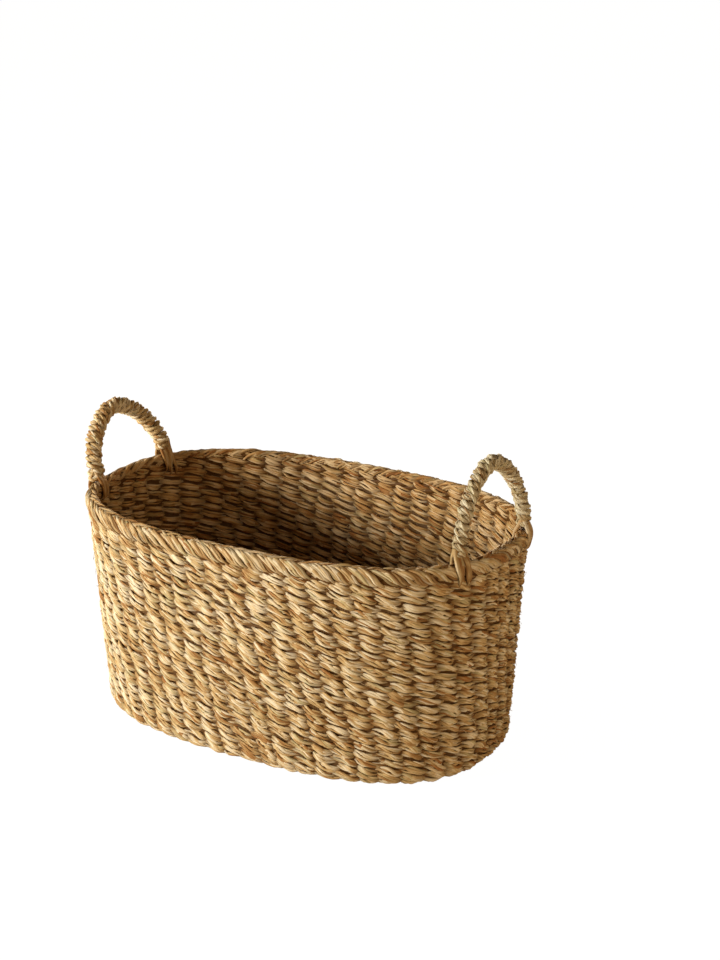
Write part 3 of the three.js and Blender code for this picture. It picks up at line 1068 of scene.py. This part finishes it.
def twineStrands(rng, way, look):
    length = way["along"][-1]
    turns, stout = way["look"]["turns"], way["look"]["stout"]
    count = turns * look["perTurn"]
    u = np.linspace(0, 1, count)
    at = length * (look["margin"] + look["reach"] * u)
    at = at + wander(rng, count, 2 * turns, look["slide"], False)
    turn = 2 * np.pi * turns * u
    swell = wander(rng, count, turns // 2, look["swell"], False)
    strands = []
    for ply in (0, 1):
        twist = math.pi * ply + look["plyTwist"] * turn
        twist = twist + wander(rng, count, *look["twistStray"], False)
        for bundle in range(look["bundles"]):
            inner = 2 * math.pi * bundle / look["bundles"] + look["bundleTwist"] * turn + ply
            radial = look["at"] + swell + look["plyLift"] * np.cos(twist) + look["bundleLift"] * np.cos(inner)
            shift = look["plyApart"] * np.sin(twist) + look["bundleApart"] * np.sin(inner)
            radial = stout * (radial - look["roundness"] * (shift / look["halfWidth"]) ** 2)
            points = roundHoop(way, np.clip(at + shift, 0.0, length), radial, turn)
            girth = look["girth"] + wander(rng, count, *look["girthStray"], False)
            girth = pointed((0.5 + 0.5 * stout) * girth)
            strands.append(strand(points, girth, 0.0, look["gapShade"] * (1 - np.cos(twist)) / 2))
    return strands


def coreStrands(way, look):
    length = way["along"][-1]
    at = np.linspace(0.0, length, look["points"])
    strands = []
    for k in range(look["strands"]):
        turn = 2 * math.pi * k / look["strands"] + look["turn"] * at / length
        girth = pointed(np.full(look["points"], look["girth"]))
        strands.append(strand(roundHoop(way, at, look["at"], turn), girth, 0.0, look["tuck"]))
    return strands


# Feet: the hoop's bare strands, parted over the border and tucked into the wall

foot = {
    "route": (  # out, level
        (0.0008, 0.2790), (0.0012, 0.2735), (0.0030, 0.2690), (0.0058, 0.2645), (0.0080, 0.2590),
        (0.0087, 0.2520), (0.0084, 0.2460), (0.0078, 0.2405), (0.0068, 0.2365), (0.0025, 0.2325),
    ),
    "points": 26,
    "smoothing": 2,
    "crest": 0.268,
    "tail": 0.236,
    "lanes": (-1.55, -0.6, 0.6, 1.55),
    "crestPitch": 0.0034,
    "splay": {1: 0.0040, -1: 0.0038},  # outside the wall and inside it
    "splayPower": 1.2,
    "drift": 0.004,  # towards the rear on the way down
    "driftStray": 0.0018,
    "sway": 0.0009,
    "short": 0.006,
    "twistStart": 0.4,
    "twist": 0.9,
    "halfApart": 0.0009,  # between the two halves of a strand
    "halfJoin": 0.7,  # how much closer they are at the tail
    "halfLift": 0.0008,
    "girth": 1.12,
    "girths": (0.85, 1.15),
    "tailTaper": 0.65,
    # painted shade over every foot strand, and painted inner shade on the strands inside the wall
    "tuck": 0.25,
    "inner": 0.7,
    "blendFrom": 0.263,
    "blendTo": 0.276,
    "findSteps": 40,
}

footBundle = leafSection("footBundle", 0.0032, 0.0036, 6)


def shareAt(side, y):
    low, high = (-0.25, 0.25) if side > 0 else (0.75, 0.25)  # the middles of the front and the rear
    for _ in range(foot["findSteps"]):
        middle = (low + high) / 2
        if wallMiddle(middle, form["readLevel"])[1] < y:
            low = middle
        else:
            high = middle
    return (low + high) / 2


def footStrands(rng, side, y):
    look = foot
    knots = np.arange(len(look["route"]))
    smooth = np.linspace(0, knots[-1], look["points"])
    outs, levels = (np.interp(smooth, knots, values) for values in zip(*look["route"]))
    for _ in range(look["smoothing"]):
        for line in (outs, levels):
            line[1:-1] = (line[:-2] + 2 * line[1:-1] + line[2:]) / 4
    down = np.clip((look["crest"] - levels) / (look["crest"] - look["tail"]), 0, 1)
    strands = []
    for face in (1, -1):
        pitch = look["crestPitch"] + (look["splay"][face] - look["crestPitch"]) * down ** look["splayPower"]
        for lane in look["lanes"]:
            apart = lane * pitch
            apart = apart + (look["drift"] + rng.uniform(-look["driftStray"], look["driftStray"])) * down
            apart = apart + rng.uniform(-look["sway"], look["sway"]) * np.sin(2 * np.pi * down)
            short = rng.uniform(0.0, look["short"]) * down ** 2
            for half in (-1, 1):
                start = rng.uniform(-look["twistStart"], look["twistStart"])
                twist = start + look["twist"] * np.linspace(-0.5, 0.5, len(levels))
                shift = half * look["halfApart"] * np.cos(twist) * (1 - look["halfJoin"] * down ** 2)
                lift = half * look["halfLift"] * np.sin(twist)
                share = np.array([shareAt(side, value) for value in y + apart + shift])
                points = onWall(share, levels + short, face * (outs + lift))
                girth = look["girth"] * rng.uniform(*look["girths"]) * (1 - look["tailTaper"] * down ** 3)
                inner = look["inner"] * (face < 0)
                strands.append(strand(points, pointed(girth), 0.0, look["tuck"], inner))
    return strands


twineGrass = {
    "left": makeGrass("leftTwineGrass"),
    "right": makeGrass(
        "rightTwineGrass",
        Pale=(0.72, 0.62, 0.41),
        Straw=(0.55, 0.44, 0.24),
        Tan=(0.40, 0.27, 0.12),
    ),
}
bareGrass = makeGrass("bareGrass")
for number, name in enumerate(("left", "right")):
    rng = np.random.default_rng(40 + number)
    way = hoopLine(name)
    body = f"{name}_handle"
    bound = sweepStrands(f"{name}HoopTwine", twineStrands(rng, way, twine), twinePly, False)
    finish(bound, twineGrass[name], [f"handle_{name}_hoop"], body)
    bare = sweepStrands(f"{name}HoopCore", coreStrands(way, hoop["core"]), coreLeaf, False)
    finish(bare, bareGrass, [f"handle_{name}_hoop"], body)
    for end, (x, y, _) in way["feet"].items():
        strands = footStrands(rng, way["look"]["side"], y)
        piece = sweepStrands(f"{name}Foot{end.title()}", strands, footBundle, False)
        dress(piece, bareGrass, [f"handle_{name}_foot_{end}"])
        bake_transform(piece)
print("handles bound")

# Stage: pale floor, soft light

stageLook = {
    "floorSize": 30.0,
    "floorTint": (0.78, 0.73, 0.65),
    "floorGlow": 1.16,  # what the camera sees of the floor, apart from the light that falls on it
    "glowShare": 0.85,
    "worldStrength": 0.15,
    "worldTint": (1.0, 0.82, 0.63),
    "lights": {  # place, aim, size, power, tint
        "keyLight": ((-2.15, -2.45, 0.9), (0, 0, 0.15), 0.9, 151.0, (1, 1, 1)),
        "fillLight": ((2.95, -1.05, 0.5), (0, 0, 0.12), 1.2, 31.0, (1, 0.765, 0.52)),
        "backLight": ((-1.3, 2.9, 0.32), (0, 0.1, 0.12), 1.2, 70.0, (1, 0.765, 0.52)),
    },
}


def splitByCamera(tree, output, plain, seen, share):
    path = tree.nodes.new("ShaderNodeLightPath")
    factor = tree.nodes.new("ShaderNodeMath")
    factor.operation = "MULTIPLY"
    factor.inputs[1].default_value = share
    mixed = tree.nodes.new("ShaderNodeMixShader")
    tree.links.new(path.outputs["Is Camera Ray"], factor.inputs[0])
    tree.links.new(factor.outputs[0], mixed.inputs[0])
    tree.links.new(plain.outputs[0], mixed.inputs[1])
    tree.links.new(seen.outputs[0], mixed.inputs[2])
    tree.links.new(mixed.outputs[0], tree.nodes.new(output).inputs["Surface"])


def makeFloor(look):
    bpy.ops.mesh.primitive_plane_add(size=look["floorSize"])
    floor = bpy.context.object
    floor.name = "floor"
    material = bpy.data.materials.new("paleFloor")
    material.use_nodes = True
    tree = material.node_tree
    tree.nodes.clear()
    plain = tree.nodes.new("ShaderNodeBsdfDiffuse")
    plain.inputs["Color"].default_value = (*look["floorTint"], 1.0)
    glow = tree.nodes.new("ShaderNodeEmission")
    glow.inputs["Strength"].default_value = look["floorGlow"]
    splitByCamera(tree, "ShaderNodeOutputMaterial", plain, glow, look["glowShare"])
    floor.data.materials.append(material)


def makeWorld(look):
    world = bpy.data.worlds.new("studio")
    bpy.context.scene.world = world
    world.use_nodes = True
    tree = world.node_tree
    tree.nodes.clear()
    soft = tree.nodes.new("ShaderNodeBackground")
    soft.inputs["Color"].default_value = (*look["worldTint"], 1.0)
    soft.inputs["Strength"].default_value = look["worldStrength"]
    white = tree.nodes.new("ShaderNodeBackground")
    white.inputs["Color"].default_value = (1, 1, 1, 1)
    splitByCamera(tree, "ShaderNodeOutputWorld", soft, white, 1.0)


def areaLight(name, place, aim, size, power, tint):
    data = bpy.data.lights.new(name, "AREA")
    data.size = size
    data.energy = power
    data.color = tint
    standAt(addObject(name, data), place, aim)


makeFloor(stageLook)
makeWorld(stageLook)
for name, look in stageLook["lights"].items():
    areaLight(name, *look)
print("stage set")
